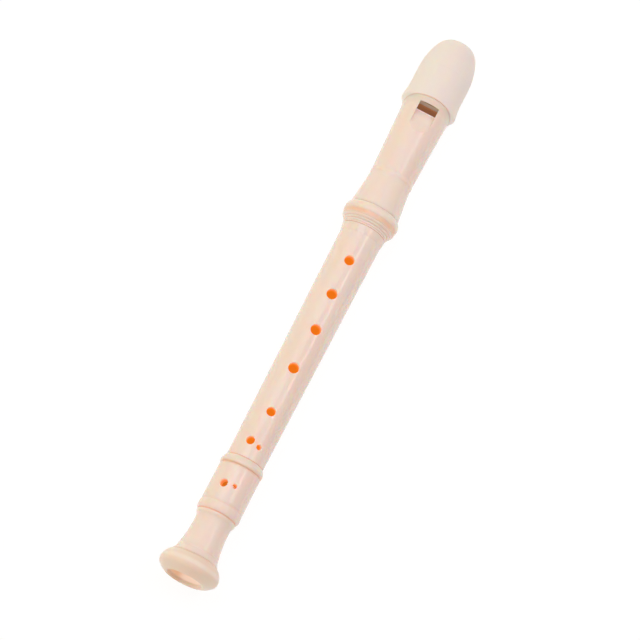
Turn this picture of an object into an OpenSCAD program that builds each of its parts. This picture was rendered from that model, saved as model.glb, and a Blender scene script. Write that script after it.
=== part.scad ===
// Soprano recorder: a school recorder in three joints that pull apart and turn on their tenons.
// Stations are distances along the bore from the tip of the mouthpiece, in millimetres.
// The instrument lies along X with its head towards +X and its finger holes facing up.

/* [Whole instrument] */
// Length from the tip of the mouthpiece to the end of the bell
total_len = 330; // [330:0.5:332]
// Largest diameter of the bell
bell_d = 33; // [32:0.1:34]
// Turn of the foot joint that brings its holes under the little finger
foot_turn = 9.5; // [0:0.5:20]
// Radial clearance of every tenon that turns and slides in its socket
running_gap = 0.05; // [0.02:0.01:0.1]
// Thin gap that shows as a line where two pieces meet
seam_gap = 0.12; // [0.05:0.01:0.2]

/* [Mouthpiece] */
// Diameter of the mouthpiece behind the beak
cap_d = 29.7; // [29:0.1:30.5]
// Diameter of the flared collar of the mouthpiece
collar_d = 31.5; // [31:0.1:32.5]
// Length of the rounded beak
beak_len = 20; // [18:0.5:21]
// Height of the beak's tip above the centre of the bore
tip_rise = 7.6; // [7.2:0.1:8.2]
// Height of the underside of the lip above the centre of the bore
lip_under = 4.6; // [4:0.1:5]
// Radius of the hollow under the beak
chin_r = 24; // [23:0.5:25]
// Slant of the collar's lower edge, which clears the window
collar_slant = 16; // [10:1:18]

/* [Windway and window] */
// Width of the windway and of the window
window_w = 11; // [10:0.1:12]
// Height of the windway
windway_h = 1.1; // [0.9:0.1:1.3]
// Height of the windway's floor above the centre of the bore
windway_floor = 7.2; // [7.1:0.1:7.3]
// Station of the window's upper edge, where the windway ends
window_top = 42.4; // [42:0.1:43]
// Distance from the windway to the sharp edge of the labium
cut_up = 3.3; // [3:0.1:4]
// Length of the labium's ramp
ramp_len = 13.6; // [12:0.1:15]

/* [Head joint] */
// Bore diameter of the head joint
head_bore_d = 14; // [13.8:0.1:14]
// Diameter at the waist of the head joint
waist_d = 23.7; // [23.5:0.1:24.5]
// Diameter of the head ring
head_ring_d = 31.1; // [30.5:0.1:31.5]
// Diameter of the upper tenon
upper_tenon_d = 19.5; // [19:0.1:19.6]
// Length of the upper tenon
upper_tenon_len = 21; // [18:0.5:21]

/* [Middle joint] */
// Diameter of the middle joint below its shoulder
middle_top_d = 23.2; // [23:0.1:24]
// Diameter of the middle joint above the foot ring
middle_end_d = 20.6; // [20:0.01:21]
// Bore diameter at the upper end of the middle joint
bore_top_d = 13.4; // [12.5:0.1:13.5]
// Bore diameter at the lower end of the middle joint
bore_end_d = 9.9; // [9.5:0.1:10.2]
// Diameter of the lower tenon
lower_tenon_d = 16.9; // [16.5:0.1:17]
// Length of the lower tenon
lower_tenon_len = 12.3; // [10:0.1:12.3]

/* [Finger holes] */
// Stations of the single holes, first to fifth finger
hole_at = [140.5, 161.3, 182.6, 206.6, 233]; // [130:0.1:240]
// Diameters of the single holes
hole_d = [5.4, 5.8, 5.8, 5.8, 4.9]; // [4:0.1:6]
// Turns of the single holes round the bore
hole_turn = [0, 0, -5.8, 0, 0]; // [-8:0.1:8]
// Station of the thumb hole at the back
thumb_hole_at = 130; // [128:0.1:131]
// Diameter of the thumb hole
thumb_hole_d = 5.4; // [5:0.1:6]
// Station of the large sixth hole
sixth_at = 251.4; // [250:0.1:252]
// Station of the small sixth hole
sixth_small_at = 252.8; // [251:0.1:253]
// Diameters of the large and the small sixth hole
sixth_d = [4.6, 2.9]; // [2:0.1:5]
// Turns of the large and the small sixth hole
sixth_turn = [15.4, -16.9]; // [-20:0.1:20]
// Station of the large seventh hole, in the foot joint
seventh_at = 278; // [277.5:0.1:279]
// Station of the small seventh hole
seventh_small_at = 277.4; // [277:0.1:279]
// Diameters of the large and the small seventh hole
seventh_d = [4.4, 2.4]; // [2:0.1:5]
// Turns of the large and the small seventh hole, from the middle of the foot joint
seventh_turn = [15.9, -15.4]; // [-20:0.1:20]

/* [Foot joint] */
// Bore diameter of the foot joint
foot_bore_d = 11; // [10.5:0.1:11.2]
// Diameter of the foot ring
foot_ring_d = 23.8; // [23.6:0.1:24.2]
// Diameter of the barrel of the foot joint
barrel_d = 22.9; // [22.7:0.1:23.1]
// Diameter of the lower bead of the foot joint
bead_d = 23.9; // [23.6:0.1:24.2]
// Diameter of the neck above the bell
neck_d = 19.36; // [19:0.01:20]
// Diameter of the mouth of the bell
mouth_d = 16.8; // [15:0.1:17.4]

/* [Hidden] */

// Gaps between pieces that are pressed together
press_gap = 0.02;
slant_gap = 0.06;

// Radii
bell_r = bell_d / 2;
cap_r = cap_d / 2;
collar_r = collar_d / 2;
head_bore_r = head_bore_d / 2;
waist_r = waist_d / 2;
head_ring_r = head_ring_d / 2;
upper_tenon_r = upper_tenon_d / 2;
lower_tenon_r = lower_tenon_d / 2;
upper_socket_r = upper_tenon_r + running_gap;
lower_socket_r = lower_tenon_r + running_gap;
foot_bore_r = foot_bore_d / 2;
foot_ring_r = foot_ring_d / 2;
barrel_r = barrel_d / 2;
bead_r = bead_d / 2;
neck_r = neck_d / 2;
mouth_r = mouth_d / 2;

// Stations along the bore
collar_at = 39.2;
collar_foot = collar_at + 4.4;
cap_spigot_at = 28.5;
block_at = 26;
labium_at = window_top + cut_up;
ridge_at = 85.8;
waist_at = 88.7;
head_ring_at = 107;
head_spigot_end = 116.6;
head_ring_end = 119.3;
shoulder_at = head_ring_end + seam_gap;
shoulder_end = 124;
upper_tenon_at = shoulder_at - upper_tenon_len;
upper_socket_at = upper_tenon_at - 0.5;
middle_end = 260.95;
foot_ring_at = middle_end + seam_gap;
foot_spigot_at = 262.6;
foot_ring_end = 266;
lower_tenon_end = middle_end + lower_tenon_len;
lower_socket_end = lower_tenon_end + 0.4;
bead_at = 287.6;
bead_end = 293.3;
neck_at = 300.5;
bell_ridge_at = 314.2;
bell_ring_at = 318.5;
bell_ring_back = bell_ring_at + press_gap;
bell_spigot_end = 326;

// Radii where the rings meet the joints
head_seam_r = 13.8;
shoulder_r = 12.1;
foot_seam_r = 11.3;
bell_seam_r = 13;

// Walls hidden inside the joints
cap_spigot_r = 11.4;
head_spigot_r = 12;
foot_spigot_r = 10.2;
bell_spigot_r = 12.2;
bell_throat_r = 7.3;
labium_edge = 0.5;
beak_overlap = 1.5;
nose_bluntness = 3.3;
ramp_start_h = windway_floor + 0.2 + labium_edge;
tenon_groove = 0.35;

// Fineness of the round shapes
$fn = 96;
bend_steps = 8;

// Points of a smooth bend from a to c that is pulled towards b
function bend(a, b, c, n = bend_steps) =
    [for (i = [0:n]) let (t = i / n) (1 - t) * (1 - t) * a + 2 * t * (1 - t) * b + t * t * c];

// Share of the full size that a rounded end has reached, from 0 at the tip to 1
function swell(u, power) = pow(1 - pow(1 - u, power), 1 / power);

// Draws a shape along the bore, with its local X as up and its local Z as the station
module along_bore() {
    translate([total_len / 2, 0, bell_r]) rotate([0, -90, 0]) children();
}

// Turns an outline of [radius, station] points round the bore
module lathe(outline) {
    rotate_extrude() polygon(outline);
}

// A straight round space along the bore
module bore(r, from, to) {
    translate([0, 0, from]) cylinder(r = r, h = to - from);
}

// A round hole from the bore out through the wall, with a softened rim at the surface
module finger_hole(at, d, turn, wall_r) {
    rim = 0.3;
    rotate([0, 0, turn]) translate([0, 0, at]) rotate([0, 90, 0]) {
        cylinder(d = d, h = 2 * wall_r, $fn = 48);
        translate([0, 0, wall_r - rim]) cylinder(d1 = d, d2 = d + 8 * rim, h = 4 * rim, $fn = 48);
    }
}

// The half of space on the mouthpiece side of the collar's slanted lower edge
module above_slant(shift) {
    room = 100;
    translate([0, 0, collar_foot + shift])
        rotate([0, collar_slant, 0])
            translate([-room / 2, -room / 2, -room])
                cube(room);
}

// Rounded beak: ellipses that grow from the tip to the round cap
module beak() {
    rings = 18;
    sides = 48;
    function grow(i) = pow(i / rings, 2);
    function half_width(u) = cap_r * pow(1 - pow(1 - u, 2), 1 / nose_bluntness);
    function top_h(u) = tip_rise + (cap_r - tip_rise) * swell(u, 1.8);
    function low_h(u) = tip_rise - (cap_r + tip_rise) * swell(u, 2.2);
    function ring(i) = let (u = grow(i), hi = top_h(u), lo = low_h(u))
        [for (k = [0:sides - 1]) let (a = 360 * k / sides)
            [(hi + lo) / 2 + (hi - lo) / 2 * cos(a), half_width(u) * sin(a), beak_len * u]];
    points = concat([[tip_rise, 0, 0]], [for (i = [1:rings]) each ring(i)]);
    last = 1 + (rings - 1) * sides;
    tip = [for (k = [0:sides - 1]) [0, 1 + k, 1 + (k + 1) % sides]];
    skin = [for (i = [0:rings - 2]) for (k = [0:sides - 1])
        let (a = 1 + i * sides + k, b = 1 + i * sides + (k + 1) % sides)
            [a, a + sides, b + sides, b]];
    end = [[for (k = [0:sides - 1]) last + sides - 1 - k]];
    polyhedron(points = points, faces = concat(tip, skin, end), convexity = 4);
}

// Turned body of the mouthpiece behind the beak, with its flared collar
module cap_body() {
    body_r = cap_r + 0.03;
    lathe(concat(
        [[0, beak_len - beak_overlap], [cap_r - 0.4, beak_len - beak_overlap]],
        [[body_r, beak_len - 0.2], [body_r, 29]],
        bend([body_r, 30], [cap_r + 0.05, 34], [collar_r - 0.2, collar_at - 1.6]),
        bend([collar_r - 0.15, collar_at - 1.3], [collar_r + 0.15, collar_at + 0.4],
             [collar_r - 0.25, collar_at + 0.9], 5),
        collar_cove(),
        [[13, 50], [0, 50]]));
}

// Hollow sweep from the collar down to the head joint
function collar_cove() =
    bend([collar_r - 0.4, collar_at + 1.1], [14, collar_at + 2.7], [13.35, collar_foot + 0.6], 6);

// Mouthpiece: the beak and its collar, pressed over the top of the head joint
module mouthpiece() {
    color("antiquewhite") along_bore() difference() {
        union() {
            beak();
            intersection() {
                cap_body();
                above_slant(0);
            }
        }
        translate([lip_under - chin_r, 0, 4]) rotate([90, 0, 0])
            cylinder(r = chin_r, h = 2 * cap_d, center = true, $fn = 128);
        bore(head_bore_r, block_at, cap_spigot_at + 1);
        bore(cap_spigot_r, cap_spigot_at, 60);
        windway(-1, cap_spigot_at + 1);
        ridge_slot(block_at, cap_spigot_at + 1);
    }
}

// Flat passage for the breath
module windway(from, to) {
    translate([windway_floor, -window_w / 2, from]) cube([windway_h, window_w, to - from]);
}

// Slot that takes the flat-topped ridge of the block
module ridge_slot(from, to) {
    translate([0, -window_w / 2, from]) cube([windway_floor, window_w, to - from]);
}

// Block: the plug that closes the bore and carries the windway's floor
module block() {
    chamfer = 0.6;
    color("gainsboro") along_bore() difference() {
        union() {
            bore(head_bore_r, block_at, window_top);
            ridge_slot(block_at, window_top);
        }
        translate([windway_floor, 0, window_top]) rotate([0, 45, 0])
            cube([chamfer, 2 * window_w, chamfer], center = true);
    }
}

// Head tube: windway roof, window, labium and the socket for the middle joint
module head_tube() {
    color("mistyrose") along_bore() difference() {
        union() {
            head_skin();
            bore(cap_spigot_r, cap_spigot_at, 50);
        }
        bore(head_bore_r, 0, upper_socket_at + 1);
        bore(upper_socket_r, upper_socket_at, 120);
        windway(0, window_top + 1);
        ridge_slot(0, window_top + 8 + cut_up);
        window_cut();
    }
}

// Outside of the head tube below the collar's slanted edge
module head_skin() {
    difference() {
        lathe(concat(
            [[0, 36], [collar_r - 0.5, 36], [collar_r - 0.45, collar_at + 1]],
            collar_cove(),
            [[13.2, 46.5], [13, 51], [12.47, 67], [11.9, ridge_at - 1.6]],
            bend([11.9, ridge_at - 1.4], [12.3, ridge_at], [11.9, ridge_at + 1.4], 6),
            bend([waist_r, waist_at - 0.6], [waist_r + 0.1, waist_at + 2.5], [13, 98.8]),
            [[head_seam_r, 106], [head_seam_r - 0.1, head_ring_at - 0.1],
             [head_spigot_r, head_ring_at - 0.1], [head_spigot_r, head_spigot_end - seam_gap],
             [0, head_spigot_end - seam_gap]]));
        above_slant(slant_gap);
    }
}

// Window and the ramp that rises from the labium's edge
module window_cut() {
    roof = collar_r + 1;
    rise = (12.75 - ramp_start_h) / ramp_len;
    rotate([90, 0, 0]) linear_extrude(height = window_w, center = true)
        polygon([[0, window_top], [roof, window_top],
                 [roof, labium_at + (roof - ramp_start_h) / rise],
                 [ramp_start_h, labium_at], [0, labium_at]]);
}

// Head ring: a bead and three fine steps, pressed over the mouth of the head joint's socket
module head_ring() {
    inner_r = head_spigot_r + running_gap;
    crest_r = head_ring_r - 0.35;
    at = head_ring_at;
    end = head_ring_end;
    color("linen") along_bore() lathe(concat(
        [[inner_r, at], [head_seam_r, at]],
        bend([head_seam_r + 0.15, at + 0.1], [14.9, at + 0.6], [crest_r, at + 2]),
        bend([crest_r + 0.15, at + 2.3], [crest_r + 0.55, at + 3.9], [crest_r - 0.05, at + 5.3]),
        bend([crest_r - 0.1, at + 5.5], [15, at + 6.5], [14.7, at + 7.5], 4),
        bend([14.4, end - 4.65], [14.35, end - 3.95], [13.5, end - 3.35], 5),
        bend([13.35, end - 3.3], [13.45, end - 2.6], [12.75, end - 2.15], 5),
        bend([12.6, end - 2.1], [12.75, end - 1.35], [12.3, end - 0.9], 5),
        bend([12.2, end - 0.8], [12.4, end - 0.3], [shoulder_r + 0.05, end], 4),
        [[upper_socket_r, end], [upper_socket_r, head_spigot_end], [inner_r, head_spigot_end]]));
}

// Middle joint: two tenons, the shoulder, and the holes for six fingers and the thumb
module middle_joint() {
    end_r = middle_end_d / 2;
    chamfer = 0.5;
    color("mistyrose") along_bore() difference() {
        lathe(concat(
            [[0, upper_tenon_at], [upper_tenon_r - chamfer, upper_tenon_at],
             [upper_tenon_r, upper_tenon_at + chamfer]],
            [for (k = [0:2]) each groove(upper_tenon_r, upper_tenon_at + 4 + 4.5 * k, 1.4)],
            [[upper_tenon_r, shoulder_at], [shoulder_r, shoulder_at]],
            bend([shoulder_r + 0.2, shoulder_at + 0.2], [shoulder_r + 0.05, shoulder_at + 2.2],
                 [middle_top_d / 2, shoulder_end]),
            [[end_r, middle_end - 0.3], [end_r - 0.3, middle_end], [lower_tenon_r, middle_end]],
            [for (k = [0:1]) each groove(lower_tenon_r, middle_end + 4 + 3.5 * k, 1.2)],
            [[lower_tenon_r, lower_tenon_end - chamfer], [lower_tenon_r - chamfer, lower_tenon_end],
             [0, lower_tenon_end]]));
        translate([0, 0, upper_tenon_at - 1])
            cylinder(d1 = bore_top_d, d2 = bore_end_d, h = lower_tenon_end - upper_tenon_at + 2);
        for (k = [0:4])
            finger_hole(hole_at[k], hole_d[k], hole_turn[k], tube_r(hole_at[k]));
        finger_hole(thumb_hole_at, thumb_hole_d, 180, tube_r(thumb_hole_at));
        finger_hole(sixth_at, sixth_d[0], sixth_turn[0], tube_r(sixth_at));
        finger_hole(sixth_small_at, sixth_d[1], sixth_turn[1], tube_r(sixth_small_at));
    }
}

// Outer radius of the middle joint at a station
function tube_r(at) =
    let (share = (at - shoulder_end) / (middle_end - shoulder_end))
        (middle_top_d + (middle_end_d - middle_top_d) * share) / 2;

// Square groove in a tenon, which holds the grease
function groove(r, at, width) =
    [[r, at], [r - tenon_groove, at], [r - tenon_groove, at + width], [r, at + width]];

// Foot ring: the bead pressed over the mouth of the foot joint's socket
module foot_ring() {
    inner_r = foot_spigot_r + running_gap;
    at = foot_ring_at;
    color("linen") along_bore() lathe(concat(
        [[lower_socket_r, at], [10.6, at]],
        bend([10.7, at + 0.1], [11.2, at + 0.8], [foot_ring_r - 0.1, at + 2.4]),
        bend([foot_ring_r, at + 2.7], [foot_ring_r + 0.05, at + 4.3],
             [foot_seam_r + 0.05, foot_ring_end - 0.1], 6),
        [[foot_seam_r, foot_ring_end], [inner_r, foot_ring_end], [inner_r, foot_spigot_at],
         [lower_socket_r, foot_spigot_at]]));
}

// Foot joint: socket, barrel with the pair of holes for the little finger, and the flaring bell
module foot_joint() {
    color("mistyrose") along_bore() rotate([0, 0, foot_turn]) difference() {
        lathe(concat(
            [[0, foot_spigot_at + seam_gap], [foot_spigot_r, foot_spigot_at + seam_gap],
             [foot_spigot_r, foot_ring_end + press_gap], [foot_seam_r, foot_ring_end + press_gap]],
            [[barrel_r, foot_ring_end + 0.6], [barrel_r - 0.03, 274], [barrel_r + 0.12, 284]],
            bend([barrel_r + 0.08, bead_at - 1.2], [barrel_r - 0.06, bead_at - 0.4],
                 [barrel_r - 0.04, bead_at - 0.1], 4),
            bend([barrel_r + 0.02, bead_at], [bead_r + 0.15, bead_at + 2.4],
                 [bead_r - 0.35, bead_at + 4.4]),
            bend([bead_r - 0.45, bead_at + 4.6], [11.3, bead_end - 0.5], [10.7, bead_end], 4),
            bend([10.8, bead_end + 0.2], [10.95, bead_end + 1], [10.45, bead_end + 1.9], 5),
            bend([10.4, bead_end + 2], [neck_r, bead_end + 3.2], [neck_r, neck_at]),
            bend([neck_r, neck_at + 0.3], [neck_r + 0.25, neck_at + 6.5], [11.2, bell_ridge_at - 0.8]),
            bend([11.3, bell_ridge_at - 0.5], [11.6, bell_ridge_at], [11.5, bell_ridge_at + 0.5], 4),
            bend([11.5, bell_ridge_at + 0.8], [11.9, bell_ridge_at + 2.1],
                 [bell_seam_r, bell_ring_at - 0.2], 6),
            [[bell_seam_r - 0.1, bell_ring_at], [bell_spigot_r, bell_ring_at],
             [bell_spigot_r, bell_spigot_end], [0, bell_spigot_end]]));
        bore(lower_socket_r, 0, lower_socket_end);
        bore(foot_bore_r, 0, bell_ring_at + 1);
        bell_throat();
        finger_hole(seventh_at, seventh_d[0], seventh_turn[0], barrel_r);
        finger_hole(seventh_small_at, seventh_d[1], seventh_turn[1], barrel_r);
    }
}

// Smooth widening of the bore inside the bell
module bell_throat() {
    past = bell_spigot_end + 1;
    lathe(concat(
        [[0, bell_ring_at]],
        bend([foot_bore_r, bell_ring_at], [foot_bore_r + 0.3, bell_ring_at + 5],
             [bell_throat_r, bell_spigot_end]),
        [[bell_throat_r, past], [0, past]]));
}

// Bell ring: the thick rounded rim pressed over the end of the bell, hollowed towards its mouth
module bell_ring() {
    land_in = 10.6;
    land_out = 11.2;
    at = bell_ring_back;
    end = total_len;
    seat = bell_spigot_end + press_gap;
    inner_r = bell_spigot_r + press_gap;
    color("linen") along_bore() lathe(concat(
        [[inner_r, at], [bell_seam_r, at]],
        bend([bell_seam_r + 0.1, at + 0.1], [13.9, at + 0.4], [14.7, at + 1.4]),
        bend([14.85, at + 1.6], [16.35, at + 3.4], [bell_r, at + 5.6]),
        bend([bell_r, end - 5.6], [bell_r - 0.1, end - 3.4], [15, end - 2.4]),
        bend([14.8, end - 2.25], [13, end - 0.65], [land_out, end]),
        bend([land_in, end], [9.7, end - 0.1], [mouth_r + 0.25, end - 1.7]),
        bend([mouth_r + 0.1, end - 1.9], [mouth_r, end - 2.3], [bell_throat_r, seat]),
        [[inner_r, seat]]));
}

mouthpiece();
block();
head_tube();
head_ring();
middle_joint();
foot_ring();
foot_joint();
bell_ring();
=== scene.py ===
import math

import bpy
from mathutils import Matrix, Vector


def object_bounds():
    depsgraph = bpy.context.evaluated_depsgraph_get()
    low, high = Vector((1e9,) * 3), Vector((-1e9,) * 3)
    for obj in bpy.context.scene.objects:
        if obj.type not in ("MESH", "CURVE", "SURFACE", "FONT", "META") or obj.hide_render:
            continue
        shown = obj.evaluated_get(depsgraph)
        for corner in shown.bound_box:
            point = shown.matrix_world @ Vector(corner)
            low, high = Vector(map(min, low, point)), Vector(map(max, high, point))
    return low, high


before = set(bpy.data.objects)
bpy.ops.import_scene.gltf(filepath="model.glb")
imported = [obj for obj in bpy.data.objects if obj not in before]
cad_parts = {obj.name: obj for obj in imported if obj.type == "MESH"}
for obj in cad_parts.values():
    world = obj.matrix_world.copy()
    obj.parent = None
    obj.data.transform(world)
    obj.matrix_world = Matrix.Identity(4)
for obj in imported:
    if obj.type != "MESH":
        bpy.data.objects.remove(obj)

CAD_BOX = [list(corner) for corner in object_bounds()]
LOW, HIGH = (Vector(corner) for corner in CAD_BOX)

# The bore runs along X, at half the bell's height
BORE_Z = (LOW.z + HIGH.z) / 2
TIP_X = HIGH.x
LENGTH = HIGH.x - LOW.x

# Camera: above the finger holes, leaning towards the bell
CAMERA_LEAN = math.radians(18.5)
CAMERA_DISTANCE = 1.8
CAMERA_AIM = 0.5025  # share of the instrument's length from the tip
CAMERA_ROLL = math.radians(62.62)  # turn of the instrument in the picture, from level
FIELD_OF_VIEW = math.radians(10.63)
SENSOR_WIDTH = 36  # millimetres
SHIFT = (-0.00804, -0.0199)


def make_camera():
    """A long lens over the finger holes: head at the upper right, bell at the lower left."""
    back = Vector((-math.sin(CAMERA_LEAN), 0, math.cos(CAMERA_LEAN)))
    along = Vector((math.cos(CAMERA_LEAN), 0, math.sin(CAMERA_LEAN)))
    across = Vector((0, 1, 0))
    right = math.cos(CAMERA_ROLL) * along - math.sin(CAMERA_ROLL) * across
    up = math.sin(CAMERA_ROLL) * along + math.cos(CAMERA_ROLL) * across
    aim = Vector((TIP_X - CAMERA_AIM * LENGTH, 0, BORE_Z))
    data = bpy.data.cameras.new("camera")
    data.sensor_width = SENSOR_WIDTH
    data.lens = data.sensor_width / 2 / math.tan(FIELD_OF_VIEW / 2)
    data.shift_x, data.shift_y = SHIFT
    camera = bpy.data.objects.new("camera", data)
    turn = Matrix((right, up, back)).transposed().to_4x4()
    camera.matrix_world = Matrix.Translation(aim + CAMERA_DISTANCE * back) @ turn
    bpy.context.collection.objects.link(camera)
    bpy.context.scene.camera = camera


make_camera()


class Nodes:
    """A node tree, with one short call for each node."""

    def __init__(self, owner, coords="Object"):
        owner.use_nodes = True
        self.tree = owner.node_tree
        self.tree.nodes.clear()
        self.coords = self.tree.nodes.new("ShaderNodeTexCoord").outputs[coords]

    def add(self, kind, inputs, **settings):
        node = self.tree.nodes.new("ShaderNode" + kind)
        for key, value in settings.items():
            setattr(node, key, value)
        for key, value in inputs.items():
            if isinstance(value, bpy.types.NodeSocket):
                self.tree.links.new(value, node.inputs[key])
            else:
                node.inputs[key].default_value = value
        return node

    def math(self, operation, a, b=0.0, c=0.0):
        return self.add("Math", {0: a, 1: b, 2: c}, operation=operation).outputs[0]

    def both(self, *shares):
        """The product of some shares, from 0 to 1."""
        total = shares[0]
        for share in shares[1:]:
            total = self.math("MULTIPLY", total, share)
        return total

    def smooth(self, value, low, high, to_low=0.0, to_high=1.0):
        """A smooth step from to_low, where value is low, to to_high, where it is high."""
        inputs = {"Value": value, "From Min": low, "From Max": high,
                  "To Min": to_low, "To Max": to_high}
        return self.add("MapRange", inputs, interpolation_type="SMOOTHSTEP").outputs["Result"]

    def band(self, value, low, high, edge):
        """1 between low and high, 0 beyond, with soft edges."""
        return self.both(self.smooth(value, low - edge, low + edge),
                         self.smooth(value, high + edge, high - edge))

    def mix(self, share, a, b):
        return self.add("Mix", {0: share, 6: a, 7: b}, data_type="RGBA").outputs[2]

    def noise(self, scale, detail=2.0, stretch=(1, 1, 1)):
        spread = self.add("Mapping", {"Vector": self.coords, "Scale": stretch}).outputs[0]
        inputs = {"Vector": spread, "Scale": scale, "Detail": detail}
        return self.add("TexNoise", inputs).outputs["Fac"]


def rgb(red, green, blue):
    """Linear colour from the 0 to 255 numbers of a display."""
    def linear(v):
        v /= 255
        return v / 12.92 if v <= 0.04045 else ((v + 0.055) / 1.055) ** 2.4
    return (linear(red), linear(green), linear(blue), 1.0)


# Seam under the mouthpiece's collar, which slants back as it rises, with painted shade and painted
# glow along it
COLLAR_SLANT = 0.2867
COLLAR_SEAM = (43.6, 0.15, 0.35, 0.5)


class Place:
    """Where a point lies, in millimetres: station from the tip, side, height, and radius from
    the bore's axis. collar is where a plane through it, as slanted as the collar's seam, meets
    that axis."""

    def __init__(self, n):
        place = n.add("SeparateXYZ", {0: n.coords}).outputs
        self.station = n.math("MULTIPLY_ADD", place[0], -1000, TIP_X * 1000)
        self.side = n.math("MULTIPLY", place[1], 1000)
        self.height = n.math("MULTIPLY_ADD", place[2], 1000, -BORE_Z * 1000)
        side_square = n.math("MULTIPLY", self.side, self.side)
        squares = n.math("MULTIPLY_ADD", self.height, self.height, side_square)
        self.radius = n.math("SQRT", squares)
        self.collar = n.math("MULTIPLY_ADD", self.height, COLLAR_SLANT, self.station)


# Radius in millimetres within which a surface takes the bore's painted glow and painted shade
BORE_LIMIT = 7.6


def bore_share(n, p):
    """1 inside the bore, 0 in the wall."""
    return n.smooth(p.radius, BORE_LIMIT, BORE_LIMIT - 0.5)


def painted_hole_glow(n, p, base, skin, holes, bore_glow_power):
    """Walls of the finger holes and the bore, with a painted glow that stands in for light through
    the plastic, and painted shade.

    skin gives the outer radius at two stations, and holes the stretch of stations with holes.
    bore_glow_power is the strength of the painted glow in the bore. Returns the base colour with
    painted shade, the painted glow's colour and strength, and the share that is inside."""
    (at_a, r_a), (at_b, r_b) = skin
    outer = n.add("MapRange", {"Value": p.station, "From Min": at_a, "From Max": at_b,
                               "To Min": r_a, "To Max": r_b})
    sunk = n.math("SUBTRACT", outer.outputs["Result"], p.radius)
    near = n.both(n.math("GREATER_THAN", p.station, holes[0]),
                  n.math("LESS_THAN", p.station, holes[1]))
    wall = n.both(n.smooth(sunk, 0.25, 0.9), near)
    deep = n.both(n.smooth(sunk, 0.5, 2.6), near)
    bore = bore_share(n, p)
    glow = n.mix(bore, n.mix(deep, HOLE_RIM_GLOW, HOLE_WALL_GLOW), n.mix(near, THROAT_GLOW, BORE_GLOW))
    inner = n.math("MAXIMUM", wall, bore)
    colour = n.mix(inner, base, n.mix(0.5, glow, PAINTED_SHADE))
    strength = n.math("MULTIPLY", inner, n.smooth(bore, 0, 1, WALL_GLOW_POWER, bore_glow_power))
    return colour, glow, strength, inner


def painted_crease_share(n, p, creases):
    """Share of the painted shade and painted glow in each crease, which is given as station, half
    width, soft edge and strength.
    """
    total = 0.0
    for crease in creases:
        at, half, edge, strength = crease
        way = p.collar if crease is COLLAR_SEAM else p.station
        line = n.math("MULTIPLY", n.band(way, at - half, at + half, edge), strength)
        total = n.math("MAXIMUM", total, line)
    return total


def plastic(name, colour, mottle, radius, roughness, grain, creases=(), touch=None):
    """Translucent moulded plastic, with painted shade and a painted warm glow in its creases and
    seams.

    touch(n, p, base) gives a new colour with its painted shade and light, the painted glow's colour
    and strength, and the share that doesn't scatter light."""
    material = bpy.data.materials.new(name)
    n = Nodes(material)
    p = Place(n)
    flow = n.noise(60, 3, (0.35, 1, 1))
    speck = n.noise(900, 2)
    base = n.mix(n.smooth(flow, 0.3, 0.7), colour, mottle)
    patches = n.smooth(n.noise(220), 0.3, 0.7, roughness - 0.03, roughness + 0.03)
    rough = n.math("ADD", patches, n.smooth(speck, 0.4, 0.7, 0, 0.03))
    wave = n.add("Bump", {"Height": flow, "Strength": 0.06, "Distance": 0.0006})
    fine = n.add("Bump", {"Height": n.noise(2600, 1), "Strength": grain, "Distance": 0.00008,
                          "Normal": wave.outputs[0]})
    # Painted shade and painted glow along the creases and seams
    crease_shade = painted_crease_share(n, p, creases)
    base = n.mix(crease_shade, base, CREASE_SHADE_GLOW)
    inputs = {"Roughness": rough, "IOR": PLASTIC_IOR, "Normal": fine.outputs[0],
              "Subsurface Weight": 1.0, "Subsurface Radius": radius, "Subsurface Scale": SCATTER,
              "Emission Color": CREASE_SHADE_GLOW,
              "Emission Strength": n.math("MULTIPLY", crease_shade, CREASE_GLOW_POWER)}
    if touch:
        base, glow, strength, share = touch(n, p, base)
        lit = n.math("GREATER_THAN", strength, 0.001)
        inputs["Emission Color"] = n.mix(lit, CREASE_SHADE_GLOW, glow)
        inputs["Emission Strength"] = n.math("MAXIMUM", strength, inputs["Emission Strength"])
        inputs["Subsurface Weight"] = n.math("SUBTRACT", 1, share)
        inputs["Specular IOR Level"] = n.smooth(share, 0, 1, 0.5, 0.1)
    inputs["Base Color"] = base
    body = n.add("BsdfPrincipled", inputs, subsurface_method="RANDOM_WALK")
    n.add("OutputMaterial", {"Surface": body.outputs[0]})
    return material


PLASTIC_IOR = 1.46
SCATTER = 0.0018  # metres that light goes through the plastic

# Strengths of the painted glow in creases, in the walls of holes, and in the bore behind them
CREASE_GLOW_POWER = 0.22
WALL_GLOW_POWER = 0.6
MIDDLE_BORE_GLOW_POWER = 0.7
FOOT_BORE_GLOW_POWER = 0.47

# Colours of the painted glow, painted shade, painted light and painted highlights
CREASE_SHADE_GLOW = rgb(222, 148, 95)
HOLE_RIM_GLOW = rgb(250, 196, 160)
HOLE_WALL_GLOW = rgb(238, 142, 78)
BORE_GLOW = rgb(219, 126, 28)
PAINTED_SHADE = rgb(110, 60, 35)
SLOT_SHADE = rgb(186, 168, 156)
SLOT_EDGE_SHADE = rgb(105, 86, 70)
BLOCK_FACE_SHADE = rgb(160, 104, 70)
LABIUM_LIGHT = rgb(252, 230, 219)
FLANK_SHADE = rgb(250, 211, 188)
BELL_BACK_HIGHLIGHT = rgb(249, 234, 224)
MOUTH_SHADE_GLOW = rgb(226, 184, 150)
THROAT_GLOW = rgb(243, 219, 203)

# The window, in millimetres: half its width, the station where its slot ends, and the height
# above the bore's axis over which its ramp lies
WINDOW_HALF = 5.6
SLOT_END = 45.75
RAMP_FLOOR = 7.8


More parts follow.
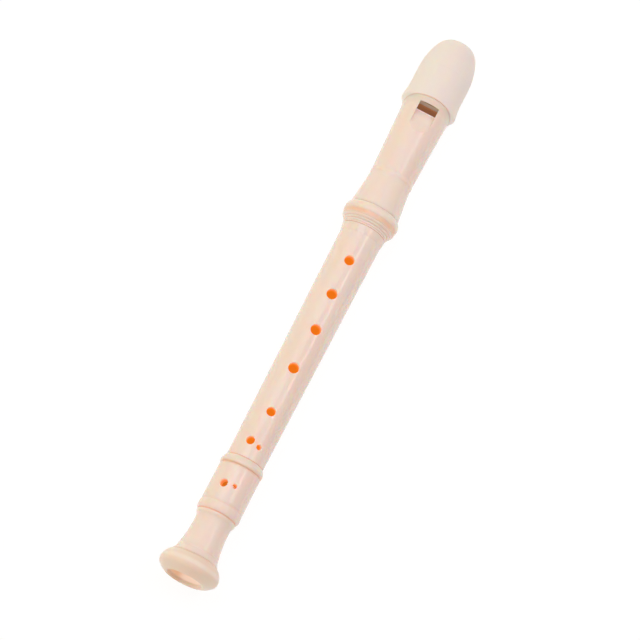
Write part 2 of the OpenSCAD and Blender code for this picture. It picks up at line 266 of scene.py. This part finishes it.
def touch_head(n, p, base):
    """Painted shadow in the window's slot and in the head's bore, with a faint painted glow, a
    painted highlight on the labium's edge, and painted light on the ramp below it.
    """
    middle = n.math("LESS_THAN", n.math("ABSOLUTE", p.side), WINDOW_HALF)
    before = n.math("LESS_THAN", p.station, SLOT_END)
    above = n.math("GREATER_THAN", p.height, RAMP_FLOOR)
    slot = n.both(middle, before, n.smooth(p.radius, 13.3, 13.1))
    edge = n.both(middle, n.band(p.station, 45.7, 46.3, 0.15), above)
    ramp = n.both(middle, n.band(p.station, 46, 52, 2), above)
    share = n.math("MAXIMUM", slot, bore_share(n, p))
    shade = n.mix(n.smooth(p.height, 12.2, 12.6), SLOT_SHADE, SLOT_EDGE_SHADE)
    colour = n.mix(n.math("MAXIMUM", edge, ramp), n.mix(share, base, shade), LABIUM_LIGHT)
    glow = n.mix(share, LABIUM_LIGHT, shade)
    strength = n.math("MAXIMUM", n.math("MULTIPLY", edge, 0.25), n.math("MULTIPLY", ramp, 0.03))
    return colour, glow, n.math("MAXIMUM", strength, n.math("MULTIPLY", slot, 0.2)), share


def touch_block(n, p, base):
    """The block's end face, with painted brown shade and a painted glow in the depth of the window.
    """
    face = n.smooth(p.station, 41.9, 42.2)
    return n.mix(face, base, BLOCK_FACE_SHADE), BLOCK_FACE_SHADE, n.math("MULTIPLY", face, 0.55), face


def touch_middle(n, p, base):
    """Painted glow and painted shade in the holes for six fingers and the thumb, and in the bore
    behind them.
    """
    skin = ((124, 11.6), (260.95, 10.3))
    return painted_hole_glow(n, p, base, skin, (124, 260), MIDDLE_BORE_GLOW_POWER)


def touch_foot(n, p, base):
    """Painted glow and painted shade in the pair of holes for the little finger, and in the bore
    behind them.
    """
    skin = ((274, 11.42), (284, 11.57))
    return painted_hole_glow(n, p, base, skin, (270, 286), FOOT_BORE_GLOW_POWER)


def touch_head_ring(n, p, base):
    """Painted shade, warmer, on the flank between the crest and the fine steps."""
    return n.mix(n.band(p.station, 112.1, 114.3, 0.9), base, FLANK_SHADE), CREASE_SHADE_GLOW, 0.0, 0.0


def touch_bell(n, p, base):
    """Painted warm glow in the bell's mouth, with painted shade towards +Y; a painted warm tint, as
    of light through the plastic, on its lip towards +Y; and a painted highlight on the back of the
    rim.
    """
    within = n.smooth(p.radius, 8.75, 8.35)
    left = n.smooth(p.side, 0, 5)
    lip = n.both(n.smooth(p.radius, 12.5, 9.5), n.smooth(p.station, 327, 329),
                 n.math("MULTIPLY", left, 0.6))
    colour = n.mix(left, THROAT_GLOW, MOUTH_SHADE_GLOW)
    back = n.mix(n.band(p.station, 322.2, 324.6, 0.8), base, BELL_BACK_HIGHLIGHT)
    shade = n.mix(within, n.mix(lip, back, MOUTH_SHADE_GLOW), n.mix(0.4, colour, PAINTED_SHADE))
    return shade, colour, n.math("MULTIPLY", within, 0.5), n.math("MULTIPLY", within, 0.6)


# Finishes of the joints, the mouthpiece, the block and the bell
TUBE = dict(colour=rgb(252, 230, 222), mottle=rgb(250, 226, 216),
            radius=(1.0, 0.5, 0.3), roughness=0.16, grain=0.12)
CAP = dict(colour=rgb(244, 235, 231), mottle=rgb(242, 232, 227),
           radius=(0.8, 0.45, 0.3), roughness=0.5, grain=0.5)
BLOCK = dict(colour=rgb(200, 192, 184), mottle=rgb(194, 184, 174),
             radius=(0.6, 0.4, 0.3), roughness=0.5, grain=0.5)
BELL = dict(colour=rgb(244, 225, 212), mottle=rgb(242, 221, 207),
            radius=(0.8, 0.45, 0.3), roughness=0.34, grain=0.3)

# Creases, with painted shade and painted glow: station, half width, soft edge, strength
HEAD_SEAM = (107, 0.15, 0.3, 0.5)
SHOULDER_SEAM = (119.35, 0.1, 0.25, 0.8)
STEPS = [(at, 0.05, 0.2, 0.5) for at in (116.0, 117.2, 118.45)]
FOOT_SEAM = (261, 0.15, 0.3, 0.9)
BARREL_SEAM = (266, 0.5, 0.9, 0.6)
BEAD_SEAMS = [(287.6, 0.1, 0.6, 0.35), (293.3, 0.15, 0.5, 0.9)]
BELL_SEAM = (318.6, 0.3, 1.2, 0.4)
MATERIALS = {
    "mouthpiece": plastic("cap_plastic", **CAP, creases=[COLLAR_SEAM]),
    "block": plastic("block_plastic", **BLOCK, touch=touch_block),
    "head_tube": plastic("head_plastic", **TUBE, creases=[COLLAR_SEAM, HEAD_SEAM],
                         touch=touch_head),
    "head_ring": plastic("ring_plastic", **TUBE, creases=[HEAD_SEAM, *STEPS, SHOULDER_SEAM],
                         touch=touch_head_ring),
    "middle_joint": plastic("middle_plastic", **TUBE, creases=[SHOULDER_SEAM, FOOT_SEAM],
                            touch=touch_middle),
    "foot_ring": plastic("foot_ring_plastic", **TUBE, creases=[FOOT_SEAM, BARREL_SEAM]),
    "foot_joint": plastic("foot_plastic", **TUBE, creases=[BARREL_SEAM, *BEAD_SEAMS, BELL_SEAM],
                          touch=touch_foot),
    "bell_ring": plastic("bell_plastic", **BELL, creases=[BELL_SEAM], touch=touch_bell),
}


def dress_nodes():
    """Gives each CAD node its own plastic."""
    for name, material in MATERIALS.items():
        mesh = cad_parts[name].data
        mesh.materials.clear()
        mesh.materials.append(material)


dress_nodes()


FLOOR_HALF = 6  # metres
FLOOR_GLOW = 0.88  # keeps the floor as white as plain paper


def make_floor():
    """A plain white floor that the instrument lies on."""
    half = FLOOR_HALF
    mesh = bpy.data.meshes.new("floor")
    corners = [(-half, -half, 0), (half, -half, 0), (half, half, 0), (-half, half, 0)]
    mesh.from_pydata(corners, [], [(0, 1, 2, 3)])
    floor = bpy.data.objects.new("floor", mesh)
    bpy.context.collection.objects.link(floor)
    material = bpy.data.materials.new("floor_paint")
    n = Nodes(material)
    paper = n.mix(n.noise(40, 3), (0.15, 0.15, 0.15, 1), (0.16, 0.16, 0.16, 1))
    inputs = {"Base Color": paper, "Roughness": 0.9, "Specular IOR Level": 0.1,
              "Emission Color": (1, 1, 1, 1), "Emission Strength": FLOOR_GLOW}
    paint = n.add("BsdfPrincipled", inputs)
    n.add("OutputMaterial", {"Surface": paint.outputs[0]})
    mesh.materials.append(material)


make_floor()


def area_light(name, place, size, radiance):
    """A softbox that faces the middle of the instrument, with its first side along it."""
    data = bpy.data.lights.new(name, "AREA")
    data.shape = "RECTANGLE"
    data.size, data.size_y = size
    data.energy = radiance * math.pi * size[0] * size[1]
    light = bpy.data.objects.new(name, data)
    back = (Vector(place) - Vector((0, 0, BORE_Z))).normalized()
    along = (Vector((1, 0, 0)) - back.x * back).normalized()
    turn = Matrix((along, back.cross(along), back)).transposed().to_4x4()
    light.matrix_world = Matrix.Translation(place) @ turn
    bpy.context.collection.objects.link(light)


def make_world():
    """Soft studio light: bright and cool overhead, warm and dim near the floor and on the right."""
    world = bpy.data.worlds.new("studio")
    n = Nodes(world, "Generated")
    way = n.add("SeparateXYZ", {0: n.coords}).outputs
    low = n.mix(n.smooth(way[1], -0.5, 0.5), (0.16, 0.08, 0.0, 1), (0.60, 0.46, 0.04, 1))
    middle = n.mix(n.smooth(way[1], -0.8, 0.8), (0.56, 0.48, 0.33, 1),
                   (0.86, 0.80, 0.64, 1))
    sky = n.mix(n.smooth(way[2], 0.0, 0.7), low, middle)
    sky = n.mix(n.smooth(way[2], 0.75, 1.0), sky, (0.98, 0.96, 1.30, 1))
    light = n.add("Background", {"Color": sky, "Strength": 1.0})
    n.add("OutputWorld", {"Surface": light.outputs[0]})
    bpy.context.scene.world = world


def make_light():
    """A wide softbox on the left, and two narrow ones that the gloss reflects as streaks."""
    area_light("left_softbox", (0.1, 0.45, 1.2), (0.6, 0.7), 1.4)
    area_light("streak_softbox", (0.3, -0.58, 1.1), (0.6, 0.28), 3.2)
    area_light("head_softbox", (0.9, -0.3, 0.9), (0.3, 0.3), 2.5)
    bpy.context.scene.view_settings.view_transform = "Standard"


make_world()
make_light()
